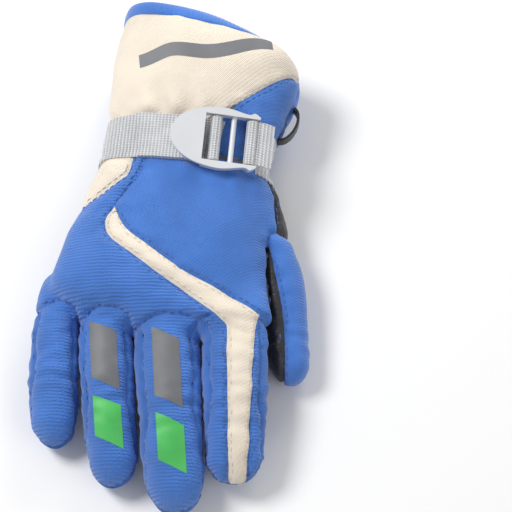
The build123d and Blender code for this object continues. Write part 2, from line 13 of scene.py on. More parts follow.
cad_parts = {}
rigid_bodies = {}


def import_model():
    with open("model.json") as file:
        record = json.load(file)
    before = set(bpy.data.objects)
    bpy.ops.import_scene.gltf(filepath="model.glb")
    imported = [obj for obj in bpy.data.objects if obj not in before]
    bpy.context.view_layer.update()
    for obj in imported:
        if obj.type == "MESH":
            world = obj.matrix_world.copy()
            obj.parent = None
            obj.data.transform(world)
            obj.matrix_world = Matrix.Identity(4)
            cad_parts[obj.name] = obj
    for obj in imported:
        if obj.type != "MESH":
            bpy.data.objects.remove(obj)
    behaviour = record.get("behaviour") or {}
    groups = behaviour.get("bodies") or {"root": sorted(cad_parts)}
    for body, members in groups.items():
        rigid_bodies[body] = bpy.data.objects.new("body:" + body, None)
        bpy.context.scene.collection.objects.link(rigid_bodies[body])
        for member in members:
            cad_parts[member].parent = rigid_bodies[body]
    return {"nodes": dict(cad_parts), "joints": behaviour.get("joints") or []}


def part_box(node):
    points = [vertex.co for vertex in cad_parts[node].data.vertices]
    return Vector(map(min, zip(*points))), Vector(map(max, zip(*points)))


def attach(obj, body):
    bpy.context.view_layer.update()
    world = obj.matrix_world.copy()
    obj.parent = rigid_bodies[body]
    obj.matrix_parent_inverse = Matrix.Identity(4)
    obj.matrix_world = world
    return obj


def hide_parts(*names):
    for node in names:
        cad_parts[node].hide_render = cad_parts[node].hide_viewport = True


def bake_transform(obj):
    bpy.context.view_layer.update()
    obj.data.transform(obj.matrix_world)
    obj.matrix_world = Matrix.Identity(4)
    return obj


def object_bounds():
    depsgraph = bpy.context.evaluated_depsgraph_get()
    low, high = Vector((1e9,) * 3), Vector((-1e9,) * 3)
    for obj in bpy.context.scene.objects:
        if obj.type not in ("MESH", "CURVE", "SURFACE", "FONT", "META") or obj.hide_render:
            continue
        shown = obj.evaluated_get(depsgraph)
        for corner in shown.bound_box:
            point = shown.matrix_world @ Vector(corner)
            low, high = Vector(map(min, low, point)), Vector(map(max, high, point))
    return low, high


for thing in list(bpy.data.objects):
    bpy.data.objects.remove(thing)
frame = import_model()
cad_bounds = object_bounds()

MM = 0.001
TO_MM = 1000
FINGERS = ("index", "middle", "ring", "little")
JOINTS = {j["name"]: j for j in frame["joints"]}
NODES = frame["nodes"]
UP = np.array([0.0, 0.0, 1.0])

# ---- sizes of the look, in mm ----
VOXEL = 1.12
SLOT = 0.75  # half the gap kept between neighbouring fingers
WEB_BLEND = 4.5  # how softly the fingers grow out of the hand
THUMB_BLEND = 9.0
FLEX_START = -2.0  # a finger's knuckle seam, where its zone starts, is placed from this distance to its joint
MID_CUT = 0.55  # a finger's skin is cut at this share of its first length
CLOTH_THICK = 0.9
MARGIN = 6.0  # room for the skin round the frame's box
STRAP_CENTRE = 14.5  # from the wrist's axis towards the mouth
STRAP_HALF = 10.0
PUFF = 1.5  # how far the padding lifts a panel's middle
PUFF_REACH = 8.5
GROOVE = 1.1  # how deep a seam sinks
GROOVE_WIDTH = 1.3
PUCKER = 0.34
PUCKER_REACH = 6.0
UNEVEN = 0.35
GATHER = 1.3  # height of the folds beside the strap
CREASE = 0.42
CREASE_STEP = 6.4
KNUCKLE_ARCH = 4.0  # how far a knuckle seam arches back over its finger
CORNER_REACH = 9.0  # the stripe turns into the index finger over this length


# ---- reading the frame ----
def node_mesh(name):
    """Vertices in mm and triangles of a CAD node."""
    me = NODES[name].data
    co = np.empty(len(me.vertices) * 3)
    me.vertices.foreach_get("co", co)
    me.calc_loop_triangles()
    tri = np.empty(len(me.loop_triangles) * 3, dtype=np.int32)
    me.loop_triangles.foreach_get("vertices", tri)
    return co.reshape(-1, 3) * TO_MM, tri.reshape(-1, 3)


def sides(tri):
    """The three sides of every triangle."""
    return np.vstack([tri[:, [0, 1]], tri[:, [1, 2]], tri[:, [2, 0]]])


def open_edges(tri):
    """The sides that only one triangle has."""
    e = sides(tri)
    _, first, times = np.unique(np.sort(e, axis=1), axis=0, return_index=True, return_counts=True)
    return e[first[times == 1]]


def section(names, origin, normal):
    """The points where the nodes' meshes cross a plane."""
    points = []
    for name in names:
        if name not in NODES:
            continue
        co, tri = node_mesh(name)
        s = (co - origin) @ normal
        e = sides(tri)
        a, b = s[e[:, 0]], s[e[:, 1]]
        m = a * b < 0
        k = (a[m] / (a[m] - b[m]))[:, None]
        points.append(co[e[m, 0]] * (1 - k) + co[e[m, 1]] * k)
    return np.vstack(points)


def joint_at(name):
    j = JOINTS[name]
    return np.array(j["pos_m"]) * TO_MM, np.array(j["axis"], float)


def span(names):
    """The box of several nodes, in mm."""
    boxes = [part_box(n) for n in names if n in NODES]
    lo = np.min([np.array(b[0]) for b in boxes], axis=0) * TO_MM
    hi = np.max([np.array(b[1]) for b in boxes], axis=0) * TO_MM
    return lo, hi


# ---- tubes ----
def smooth_stations(t, values, step=1.0, width=4.0):
    """Stations filled in every millimetre and rounded."""
    grid = np.arange(t[0], t[-1] + step / 2, step)
    columns = []
    reach = int(3 * width)
    x = np.arange(-reach, reach + 1)
    kernel = np.exp(-(x / width) ** 2 / 2)
    kernel /= kernel.sum()
    for v in values:
        dense = np.interp(grid, t, v)
        first = dense[0] - (dense[1] - dense[0]) * np.arange(reach, 0, -1)
        last = dense[-1] + (dense[-1] - dense[-2]) * np.arange(1, reach + 1)
        columns.append(np.convolve(np.concatenate([first, dense, last]), kernel, "valid"))
    return grid, columns


class Tube:
    """A soft tube along a straight plan line: centre and half sizes at each distance along."""

    def __init__(self, origin, along, t, u, w, a, b, power, roll=None, dome=None, tail=None,
                 width=4.0):
        self.origin = np.array([origin[0], origin[1], 0.0])
        self.along = np.array([along[0], along[1], 0.0])
        self.along /= np.linalg.norm(self.along)
        self.side = np.array([-self.along[1], self.along[0], 0.0])
        t = np.array(t, float)
        roll = np.zeros(len(t)) if roll is None else np.radians(roll)
        self.t, self.columns = smooth_stations(t, [u, w, a, b, roll], width=width)
        self.power = power
        self.dome = dome  # (start, length) of the rounded end
        self.tail = tail  # the same for the end that is buried in the hand

    def at(self, t):
        return [np.interp(t, self.t, c) for c in self.columns]

    def local(self, p):
        q = p - self.origin
        return q @ self.along, q @ self.side, p[..., 2]

    def distance(self, p):
        """Radial distance to the skin, below 0 inside."""
        t, u, w = self.local(p)
        cu, cw, a, b, roll = self.at(t)
        du, dw = u - cu, w - cw
        c, s = np.cos(roll), np.sin(roll)
        du, dw = du * c - dw * s, du * s + dw * c
        n = self.power
        r = (np.abs(du / a) ** n + np.abs(dw / b) ** n) ** (1 / n)
        length2 = du * du + dw * dw
        if self.dome:
            start, reach = self.dome
            over = np.maximum(0, t - start)
            r = np.sqrt(r * r + (over / reach) ** 2)
            length2 = length2 + over * over
        if self.tail:
            start, reach = self.tail
            over = np.maximum(0, start - t)
            r = np.sqrt(r * r + (over / reach) ** 2)
            length2 = length2 + over * over
        length = np.sqrt(length2) + 1e-6
        r = np.maximum(r, 1e-6)
        mean = np.minimum(a, b)
        return np.where(r < 0.25, (r - 1) * mean, length * (1 - 1 / r))


BACK_NODES = ("back_yoke", "back_stripe", "back_knuckle_panel", "cuff_back_corner")
PALM_NODES = ("palm_grip", "palm_panel")
CUFF_NODES = ("cuff_back_panel", "cuff_gusset", "cuff_palm_panel")
PART_PANELS = ("back", "palm", "gussets", "stripe")


def sleeve_tube():
    """The hand and cuff, measured off their CAD panels at stations along Y."""
    rows = []
    wrist = joint_at("wrist_bend")[0][1]
    knuckles = min(joint_at(f"{n}_knuckle")[0][1] for n in FINGERS)
    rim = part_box("cuff_back_panel")[1][1] * TO_MM
    thumb = joint_at("thumb_swing")[0][1]
    cuff_y = np.linspace(rim - 12, wrist + 12, 6)
    hand_y = np.linspace(thumb - 10, knuckles + 6, 4)
    for y in [*cuff_y, *hand_y]:
        origin = np.array([0, y, 0])
        names = CUFF_NODES if y > wrist else (*BACK_NODES, *PALM_NODES)
        p = section(names, origin, np.array([0, 1.0, 0]))
        left, right = p[p[:, 0].argmin()], p[p[:, 0].argmax()]
        a = (right[0] - left[0]) / 2
        z0, z1 = p[:, 2].min(), p[:, 2].max()
        roll = 0.0 if y > wrist else math.degrees(math.atan2(right[2] - left[2], 2 * a))
        rows.append((-y, (left[0] + right[0]) / 2, (z0 + z1) / 2, a, (z1 - z0) / 2, roll))
    # run on past both ends
    first, second = np.array(rows[0]), np.array(rows[1])
    rows.insert(0, tuple(first + (first - second) * 1.2))
    last, before = np.array(rows[-1]), np.array(rows[-2])
    rows.append(tuple(last + (last - before) * 1.2))
    r = np.array(rows)
    return Tube((0, 0), (0, -1), r[:, 0], r[:, 1], r[:, 2], r[:, 3], r[:, 4], 2.5, r[:, 5],
                dome=(-knuckles - 7, 9.5), width=6.0)


class FingerLine:
    """A finger's joints, direction and skin tube."""

    def __init__(self, name):
        self.knuckle, _ = joint_at(f"{name}_knuckle")
        self.middle, _ = joint_at(f"{name}_middle_joint")
        flat = self.middle - self.knuckle
        flat[2] = 0
        self.first = float(np.linalg.norm(flat))
        self.along = flat / self.first
        tip_nodes = [f"{name}_tip_{p}" for p in PART_PANELS]
        co = np.vstack([node_mesh(n)[0] for n in tip_nodes if n in NODES])
        self.total = float(((co - self.knuckle) @ self.along).max())
        second = self.total - self.first
        stops = [self.first * k for k in (0.34, 0.62)]
        stops += [self.first + second * k for k in (0.3, 0.5, 0.68)]
        rows = []
        self.side = np.array([-self.along[1], self.along[0], 0.0])
        for t in stops:
            part = "base" if t < self.first else "tip"
            names = [f"{name}_{part}_{p}" for p in PART_PANELS]
            p = section(names, self.knuckle + self.along * t, self.along)
            u = (p - self.knuckle) @ self.side
            z = p[:, 2]
            rows.append((t, (u.min() + u.max()) / 2, (z.min() + z.max()) / 2,
                         (u.max() - u.min()) / 2, (z.max() - z.min()) / 2))
        r = np.array(rows)
        # level behind the first station, running on ahead of the last
        back = r[0].copy()
        back[0] = -26.0
        back[1:3] = r[0][1:3] + (r[0][1:3] - r[1][1:3]) * 0.4
        back[3] *= 0.86
        ahead = r[-1] + (r[-1] - r[-2]) * (self.total + 6 - r[-1][0]) / (r[-1][0] - r[-2][0])
        r = np.vstack([back, r, ahead])
        reach = r[-2][4] * 1.25
        self.tube = Tube(self.knuckle, self.along, r[:, 0], r[:, 1], r[:, 2], r[:, 3], r[:, 4],
                         2.3, dome=(self.total - reach, reach), tail=(-3.0, 20.0))

    def coordinates(self, p):
        """Distance along the finger, and across it from its middle."""
        t, u, _ = self.tube.local(p)
        return t, u - self.tube.at(t)[0]


def thumb_tube():
    """The thumb, measured off its CAD panels, with its root run back into the hand."""
    hinge, _ = joint_at("thumb_swing")
    names = ("thumb_back", "thumb_grip")
    lo, hi = span(names)
    tip = lo[1]
    rows = []
    for y in np.linspace(hinge[1] - 12, tip + 16, 4):
        p = section(names, np.array([0, y, 0]), np.array([0, 1.0, 0]))
        rows.append((-y, (p[:, 0].min() + p[:, 0].max()) / 2, (p[:, 2].min() + p[:, 2].max()) / 2,
                     np.ptp(p[:, 0]) / 2, np.ptp(p[:, 2]) / 2))
    r = np.array(rows)
    root = np.array([-(hinge[1] + 24), r[0][1] - 10.5, r[0][2] + 3.0, r[0][3] * 0.9, r[0][4] * 0.97])
    deep = root + np.array([-16, -6.5, 1.5, -1.5, -1.0])
    near = np.array([-(hinge[1] + 4), r[0][1] - 4.2, r[0][2] + 1.0, r[0][3], r[0][4]])
    end = r[-1] + (r[-1] - r[-2]) * 1.6
    end[3:] = r[-1][3:] * 0.94
    r = np.vstack([deep, root, near, r, end])
    reach = r[-2][4] * 1.2
    return Tube((0, 0), (0, -1), r[:, 0], r[:, 1], r[:, 2], r[:, 3], r[:, 4], 2.3,
                dome=(-tip - reach, reach), tail=(-(hinge[1] + 26), 14.0))


# ---- one skin ----
def smooth_min(a, b, k):
    h = np.maximum(k - np.abs(a - b), 0) / k
    return np.minimum(a, b) - h * h * k / 4


def smooth_max(a, b, k):
    return -smooth_min(-a, -b, k)


def ramp(x):
    x = np.clip(x, 0, 1)
    return x * x * (3 - 2 * x)


SLEEVE = sleeve_tube()
FINGER = {n: FingerLine(n) for n in FINGERS}
THUMB = thumb_tube()
THUMB_PIVOT, _ = joint_at("thumb_swing")


def skin_field(p):
    """Distance to the glove's outside, below 0 inside, for points in mm."""
    hand = SLEEVE.distance(p)
    fingers = [FINGER[n].tube.distance(p) for n in FINGERS]
    parted = []
    for i, d in enumerate(fingers):
        t = FINGER[FINGERS[i]].tube.local(p)[0]
        open_up = ramp((t + 4) / 4) * SLOT
        for k in (i - 1, i + 1):
            if 0 <= k < len(fingers):
                d = np.maximum(d, (fingers[i] - fingers[k]) / 2 + open_up)
        parted.append(d)
    body = None
    for d in parted:
        joined = smooth_min(hand, d, WEB_BLEND)
        body = joined if body is None else np.minimum(body, joined)
    thumb = THUMB.distance(p)
    ahead = THUMB_PIVOT[1] + 3 - p[..., 1]
    free = ramp(ahead / 7)
    gap = (thumb - body) / 2
    thumb_cut = np.maximum(thumb, gap + SLOT)
    body_cut = np.maximum(body, -gap + SLOT)
    apart = np.minimum(thumb_cut, body_cut)
    fused = smooth_min(thumb, body, THUMB_BLEND)
    skin = fused * (1 - free) + apart * free
    # the floor flattens what rests on it
    return smooth_max(skin, 0.35 - p[..., 2], 1.6)


def grid_field(lo, hi, h, field):
    """The field on a grid, worked out in slabs."""
    axes = [np.arange(lo[i], hi[i] + h, h) for i in range(3)]
    values = np.empty([len(a) for a in axes], np.float32)
    for i, x in enumerate(axes[0]):
        yy, zz = np.meshgrid(axes[1], axes[2], indexing="ij")
        p = np.stack([np.full_like(yy, x), yy, zz], axis=-1)
        values[i] = field(p)
    return values


def surface_nets(values, lo, h):
    """A mesh of the grid's zero surface: vertices, triangles."""
    inside = values < 0
    nx, ny, nz = values.shape
    corners = [(i, j, k) for i in (0, 1) for j in (0, 1) for k in (0, 1)]
    total = np.zeros((nx - 1, ny - 1, nz - 1), np.int8)
    for i, j, k in corners:
        total += inside[i:nx - 1 + i, j:ny - 1 + j, k:nz - 1 + k]
    active = (total > 0) & (total < 8)
    cells = np.argwhere(active)
    index = np.full(active.shape, -1, np.int32)
    index[active] = np.arange(len(cells))
    sums = np.zeros((len(cells), 3))
    counts = np.zeros(len(cells))
    for a in corners:
        for b in corners:
            if sum(b) != sum(a) + 1 or sum(abs(a[i] - b[i]) for i in range(3)) != 1:
                continue
            va = values[cells[:, 0] + a[0], cells[:, 1] + a[1], cells[:, 2] + a[2]]
            vb = values[cells[:, 0] + b[0], cells[:, 1] + b[1], cells[:, 2] + b[2]]
            cross = (va < 0) != (vb < 0)
            t = np.where(cross, va / np.where(va == vb, 1, va - vb), 0)[:, None]
            point = np.array(a) + (np.array(b) - np.array(a)) * t
            sums += point * cross[:, None]
            counts += cross
    verts = (cells + sums / counts[:, None]) * h + lo
    quads = []
    for axis in range(3):
        u, v = [i for i in range(3) if i != axis]
        a = [slice(1, -1)] * 3
        b = [slice(1, -1)] * 3
        a[axis], b[axis] = slice(0, -1), slice(1, None)
        first, second = inside[tuple(a)], inside[tuple(b)]
        hits = np.argwhere(first != second)
        flip = first[tuple(hits.T)]
        base = hits + 1
        base[:, axis] -= 1
        ring = []
        for du, dv in ((-1, -1), (0, -1), (0, 0), (-1, 0)):
            c = base.copy()
            c[:, u] += du
            c[:, v] += dv
            ring.append(index[tuple(c.T)])
        q = np.stack(ring, axis=1)
        if axis == 1:
            flip = ~flip
        q = np.where(flip[:, None], q, q[:, ::-1])
        quads.append(q)
    quads = np.vstack(quads)
    quads = quads[(quads >= 0).all(axis=1)]
    d1 = np.linalg.norm(verts[quads[:, 0]] - verts[quads[:, 2]], axis=1)
    d2 = np.linalg.norm(verts[quads[:, 1]] - verts[quads[:, 3]], axis=1)
    s = (d1 <= d2)[:, None]
    t1 = np.where(s, quads[:, [0, 1, 2]], quads[:, [0, 1, 3]])
    t2 = np.where(s, quads[:, [0, 2, 3]], quads[:, [1, 2, 3]])
    return verts, np.vstack([t1, t2])


def edges_of(tri):
    e = sides(tri)
    e.sort(axis=1)
    return np.unique(e, axis=0)


def neighbour_sum(verts, edges):
    """The sum of each vertex's neighbours along some edges."""
    total = np.zeros_like(verts)
    np.add.at(total, edges[:, 0], verts[edges[:, 1]])
    np.add.at(total, edges[:, 1], verts[edges[:, 0]])
    return total


def relax(verts, tri, field, rounds, keep=None):
    """Even the mesh out and bring it back on to the field's zero surface."""
    e = edges_of(tri)
    count = np.bincount(e.ravel(), minlength=len(verts))[:, None]
    for _ in range(rounds):
        total = neighbour_sum(verts, e)
        moved = verts * 0.35 + total / np.maximum(count, 1) * 0.65
        moved -= field_step(moved, field)
        verts = moved if keep is None else np.where(keep[:, None], verts, moved)
    return verts


def field_step(p, field, h=0.35, limit=0.8):
    """How far to move each point to reach the zero surface."""
    f = field(p)
    g = np.stack([field(p + d) - field(p - d) for d in np.eye(3) * h], axis=1) / (2 * h)
    g2 = np.maximum((g * g).sum(axis=1), 0.2)
    step = g * (f / g2)[:, None]
    length = np.linalg.norm(step, axis=1)[:, None]
    return step * np.minimum(1, limit / np.maximum(length, 1e-9))


def vertex_normals(verts, tri):
    a, b, c = verts[tri[:, 0]], verts[tri[:, 1]], verts[tri[:, 2]]
    n = np.cross(b - a, c - a)
    out = np.zeros_like(verts)
    for i in range(3):
        np.add.at(out, tri[:, i], n)
    return out / np.maximum(np.linalg.norm(out, axis=1)[:, None], 1e-12)


# ---- growing the skin ----
def grow_skin():
    lo, hi = np.array(cad_bounds[0]) * TO_MM - MARGIN, np.array(cad_bounds[1]) * TO_MM + MARGIN
    values = grid_field(lo, hi, VOXEL, skin_field)
    verts, tri = surface_nets(values, lo, VOXEL)
    return relax(verts, tri, skin_field, rounds=4), tri


# ---- zones and panels ----
WRIST, _wrist_axis = joint_at("wrist_bend")
ACROSS = _wrist_axis / np.linalg.norm(_wrist_axis)
ALONG = np.array([-ACROSS[1], ACROSS[0], 0.0])  # towards the cuff's mouth
CUFF_CUT = 9.0  # hidden under the strap
RIM_YAW = math.radians(-11)
RIM_NORMAL = np.array([-math.sin(RIM_YAW), math.cos(RIM_YAW), 0.0])


def rim_distance():
    """How far along RIM_NORMAL the shell's mouth lies."""
    co, _ = node_mesh("cuff_lining")
    return float((co @ RIM_NORMAL).max())


RIM_AT = rim_distance()


def past_knuckle_seam(line, p):
    """How far each point lies beyond a finger's knuckle seam, which is arched over the finger."""
    t, u = line.coordinates(p)
    arch = KNUCKLE_ARCH * (1 - np.minimum((u / line.tube.at(t)[2]) ** 2, 1))
    return t - (FLEX_START + 1 - arch)


def zone_of(p):
    """The zone of each point: hand, cuff, thumb, or a finger's base or tip."""
    zone = np.where((p - WRIST) @ ALONG > CUFF_CUT, "cuff", "hand").astype("<U12")
    hand = SLEEVE.distance(p)
    fingers = np.array([FINGER[n].tube.distance(p) for n in FINGERS])
    nearest = fingers.argmin(axis=0)
    for i, name in enumerate(FINGERS):
        line = FINGER[name]
        t = line.tube.local(p)[0]
        mine = (nearest == i) & (past_knuckle_seam(line, p) > 0)
        zone[mine] = f"{name}_base"
        zone[mine & (t > MID_CUT * line.first)] = f"{name}_tip"
    thumb = THUMB.distance(p)
    body = np.minimum(hand, fingers.min(axis=0))
    zone[(thumb < body) & (p[:, 1] < THUMB_PIVOT[1] + 5)] = "thumb"
    return zone


def panel_nodes(zone):
    if zone == "hand":
        return [*BACK_NODES, *PALM_NODES]
    if zone == "cuff":
        return list(CUFF_NODES)
    if zone == "thumb":
        return ["thumb_back", "thumb_grip"]
    name = zone.split("_")[0]
    return [f"{name}_{part}_{p}" for part in ("base", "tip") for p in PART_PANELS
            if f"{name}_{part}_{p}" in NODES]


def panel_name(node):
    """The panel that a node belongs to, without its finger's length."""
    for part in PART_PANELS:
        if node.endswith(f"_{part}") and node.split("_")[0] in FINGERS:
            return part
    return node


def nearest_node(points, names):
    best = np.full(len(points), 1e9)
    found = np.zeros(len(points), int)
    for k, name in enumerate(names):
        co, tri = node_mesh(name)
        tree = BVHTree.FromPolygons(co.tolist(), tri.tolist())
        find = tree.find_nearest
        d = np.array([find(q)[3] for q in points.tolist()])
        closer = d < best
        best[closer], found[closer] = d[closer], k
    return found


def label_faces(verts, tri):
    centre = verts[tri].mean(axis=1)
    zone = zone_of(centre)
    label = np.empty(len(tri), "<U40")
    for z in np.unique(zone):
        m = zone == z
        names = panel_nodes(z)
        found = nearest_node(centre[m], names)
        label[m] = np.array([panel_name(n) for n in names])[found]
    return zone, label


def round_stripe_corner(centre, zone, label):
    """Widens the stripe at the knuckle, so that it turns into the finger on a round corner."""
    line = FINGER["index"]
    beyond = past_knuckle_seam(line, centre)
    u = line.coordinates(centre)[1]
    hand_edge = u[(label == "back_stripe") & (beyond > -1.5)].min()
    finger = zone == "index_base"
    finger_edge = u[finger & (label == "stripe") & (beyond < 4)].min()
    share = np.clip(1 - beyond / CORNER_REACH, 0, 1)
    edge = finger_edge - (finger_edge - hand_edge) * share ** 2
    label[finger & (label == "back") & (u > edge) & (u < finger_edge)] = "stripe"


def border_edges(tri, key):
    """Edges whose two triangles have different keys, with both keys."""
    e = sides(tri)
    e.sort(axis=1)
    face = np.tile(np.arange(len(tri)), 3)
    order = np.lexsort((e[:, 1], e[:, 0]))
    e, face = e[order], face[order]
    same = (e[1:] == e[:-1]).all(axis=1)
    a, b = face[:-1][same], face[1:][same]
    m = key[a] != key[b]
    return e[:-1][same][m], key[a][m], key[b][m]


def straighten(verts, edges, rounds=34):
    """Evens out a seam's zigzag along its own edges."""
    count = np.bincount(edges.ravel(), minlength=len(verts))
    on = np.flatnonzero(count == 2)
    for _ in range(rounds):
        total = neighbour_sum(verts, edges)
        verts = verts.copy()
        verts[on] = verts[on] * 0.5 + total[on] / 2 * 0.5
    return verts


def distance_to(verts, points):
    tree = KDTree(len(points))
    for i, q in enumerate(points.tolist()):
        tree.insert(q, i)
    tree.balance()
    return np.array([tree.find(q)[2] for q in verts.tolist()])


def waves(p, scale, seed):
    """A smooth repeatable noise, from a few crossed sines."""
    rng = np.random.default_rng(seed)
    out = np.zeros(len(p))
    for _ in range(9):
        k = rng.normal(size=3)
        k *= rng.uniform(0.7, 1.5) * 2 * math.pi / scale / np.linalg.norm(k)
        out += np.sin(p @ k + rng.uniform(0, 6.3))
    return out / 3.0


# ---- objects ----
def new_object(name, verts_mm, faces, loop_normals=None):
    me = bpy.data.meshes.new(name)
    me.from_pydata((np.asarray(verts_mm) * MM).tolist(), [], [list(f) for f in faces])
    me.update()
    rest = me.attributes.new("rest", "FLOAT_VECTOR", "POINT")
    rest.data.foreach_set("vector", (np.asarray(verts_mm) * MM).astype(np.float32).ravel())
    me.polygons.foreach_set("use_smooth", [True] * len(me.polygons))
    if loop_normals is not None:
        me.normals_split_custom_set(loop_normals.tolist())
    obj = bpy.data.objects.new(name, me)
    bpy.context.scene.collection.objects.link(obj)
    return obj


def thick_piece(name, verts, normals, tri, thick=CLOTH_THICK):
    """A closed piece of cloth: the outer triangles, the same set inwards, and the cut edge."""
    used, inverse = np.unique(tri.ravel(), return_inverse=True)
    t = inverse.reshape(-1, 3)
    outer, n = verts[used], normals[used]
    count = len(used)
    rim = open_edges(t)
    quads = np.stack([rim[:, 1], rim[:, 0], rim[:, 0] + count, rim[:, 1] + count], axis=1)
    points = np.vstack([outer, outer - n * thick])
    faces = t.tolist() + (t[:, ::-1] + count).tolist() + quads.tolist()
    q = points[quads]
    rim_normal = np.cross(q[:, 1] - q[:, 0], q[:, 3] - q[:, 0])
    rim_normal /= np.maximum(np.linalg.norm(rim_normal, axis=1)[:, None], 1e-9)
    loops = np.vstack([n[t.ravel()], -n[t[:, ::-1].ravel()], np.repeat(rim_normal, 4, axis=0)])
    return new_object(name, points, faces, loops)


# ---- materials ----
class Nodes:
    """A short way to write a node tree."""

    def __init__(self, name, roughness, base, **fixed):
        self.mat = bpy.data.materials.new(name)
        self.mat.use_nodes = True
        self.tree = self.mat.node_tree
        self.bsdf = self.tree.nodes["Principled BSDF"]
        self.mat.diffuse_color = (*base, 1)
        self.bsdf.inputs["Roughness"].default_value = roughness
        self.bsdf.inputs["Base Color"].default_value = (*base, 1)
        for key, value in fixed.items():
            self.bsdf.inputs[key.replace("_", " ")].default_value = value
        self.where = self.add("ShaderNodeAttribute", attribute_name="rest").outputs["Vector"]

    def add(self, kind, inputs=None, **props):
        node = self.tree.nodes.new(kind)
        for key, value in props.items():
            setattr(node, key, value)
        for key, value in (inputs or {}).items():
            if isinstance(value, bpy.types.NodeSocket):
                self.tree.links.new(value, node.inputs[key])
            else:
                node.inputs[key].default_value = value
        return node

    def math(self, operation, a, b=0.0):
        return self.add("ShaderNodeMath", {0: a, 1: b}, operation=operation).outputs[0]

    def noise(self, scale, detail=3.0, roughness=0.55):
        return self.add("ShaderNodeTexNoise", {"Vector": self.where, "Scale": scale,
                        "Detail": detail, "Roughness": roughness}).outputs["Fac"]

    def voronoi(self, scale):
        return self.add("ShaderNodeTexVoronoi", {"Vector": self.where, "Scale": scale}).outputs["Distance"]

    def lines(self, direction, period):
        """Rounded ridges across a direction, period metres apart, from 0 to 1."""
        dot = self.add("ShaderNodeVectorMath", {0: self.where, 1: direction}, operation="DOT_PRODUCT")
        phase = self.math("MULTIPLY", dot.outputs["Value"], 2 * math.pi / period)
        return self.math("MULTIPLY_ADD", self.math("SINE", phase), 0.5)

    def colour(self, factor, stops):
        ramp_node = self.add("ShaderNodeValToRGB", {"Fac": factor})
        elements = ramp_node.color_ramp.elements
        while len(elements) < len(stops):
            elements.new(0.5)
        for element, (position, rgb) in zip(elements, stops):
            element.position = position
            element.color = (*rgb, 1)
        self.tree.links.new(ramp_node.outputs["Color"], self.bsdf.inputs["Base Color"])

    def bump(self, height, distance, strength=1.0, after=None):
        inputs = {"Height": height, "Distance": distance, "Strength": strength}
        if after is not None:
            inputs["Normal"] = after
        return self.add("ShaderNodeBump", inputs).outputs["Normal"]

    def done(self, normal):
        self.tree.links.new(normal, self.bsdf.inputs["Normal"])
        return self.mat


def srgb(text):
    rgb = [int(text[i:i + 2], 16) / 255 for i in (0, 2, 4)]
    return tuple(c / 12.92 if c <= 0.04045 else ((c + 0.055) / 1.055) ** 2.4 for c in rgb)


def scaled(rgb, k):
    return tuple(c * k for c in rgb)


def twill_nodes(name, colour, rough=0.62, sheen=0.35, spread=0.16):
    """A twill: fine slanting ridges broken by the cross threads, with soft cloudy wear."""
    n = Nodes(name, rough, colour, Sheen_Weight=sheen, Sheen_Roughness=0.45, Specular_IOR_Level=0.35)
    twill = n.lines((0.8, 0.6, 0.7), 0.00075)
    cross = n.lines((0.6, -0.8, 0.5), 0.0011)
    weave = n.math("ADD", twill, n.math("MULTIPLY", cross, 0.45))
    mix = n.math("ADD", n.math("MULTIPLY", n.noise(42), 0.7), n.math("MULTIPLY", weave, 0.16))
    n.colour(mix, [(0.3, scaled(colour, 1 - spread)), (0.62, scaled(colour, 1 + spread))])
    soft = n.bump(n.noise(210, 4), 0.0006, 0.35)
    return n, n.bump(weave, 0.00022, 0.8, soft)


def woven(name, colour, **look):
    n, normal = twill_nodes(name, colour, **look)
    return n.done(normal)


def grip(name, colour):
    n = Nodes(name, 0.5, colour, Specular_IOR_Level=0.45, Sheen_Weight=0.1)
    cells = n.voronoi(620)
    n.colour(n.noise(60), [(0.3, scaled(colour, 0.75)), (0.7, scaled(colour, 1.5))])
    return n.done(n.bump(cells, 0.0004, 0.8))


def webbing(name, colour):
    n = Nodes(name, 0.6, colour, Sheen_Weight=0.3, Specular_IOR_Level=0.4)
    ribs = n.lines(tuple(ACROSS), 0.0016)
    warp = n.lines(tuple(ALONG), 0.0011)
    weave = n.math("ADD", ribs, n.math("MULTIPLY", warp, 0.6))
    n.colour(n.math("ADD", n.math("MULTIPLY", weave, 0.35), n.math("MULTIPLY", n.noise(160), 0.4)),
             [(0.2, scaled(colour, 0.62)), (0.75, scaled(colour, 1.1))])
    return n.done(n.bump(weave, 0.0004, 0.9))


def plastic(name, colour, rough=0.34):
    n = Nodes(name, rough, colour, Coat_Weight=0.12, Coat_Roughness=0.3)
    n.colour(n.noise(30), [(0.3, scaled(colour, 0.95)), (0.7, scaled(colour, 1.03))])
    return n.done(n.bump(n.noise(1400, 2), 0.00008, 0.4))


def film_material(name, colour, rough=0.42):
    n = Nodes(name, rough, colour, Specular_IOR_Level=0.55)
    n.colour(n.noise(90), [(0.3, scaled(colour, 0.9)), (0.7, scaled(colour, 1.08))])
    return n.done(n.bump(n.lines((0.8, 0.6, 0.7), 0.00095), 0.00008, 0.5))


def pile(name, colour):
    n = Nodes(name, 0.95, colour, Sheen_Weight=0.8, Sheen_Roughness=0.7, Specular_IOR_Level=0.1)
    n.colour(n.noise(260, 5), [(0.3, scaled(colour, 0.6)), (0.7, scaled(colour, 1.25))])
    return n.done(n.bump(n.noise(420, 5, 0.7), 0.0012, 0.9))


def ribbed(name, colour):
    """Twill with fine wavy ribs across the hand, on the lower back panel and the fingers."""
    n, normal = twill_nodes(name, colour)
    wave = n.add("ShaderNodeTexWave", {"Vector": n.where, "Scale": 215.0, "Distortion": 2.2,
                 "Detail": 1.0, "Detail Scale": 1.2}, bands_direction="Y")
    return n.done(n.bump(wave.outputs["Fac"], 0.0004, 0.6, normal))


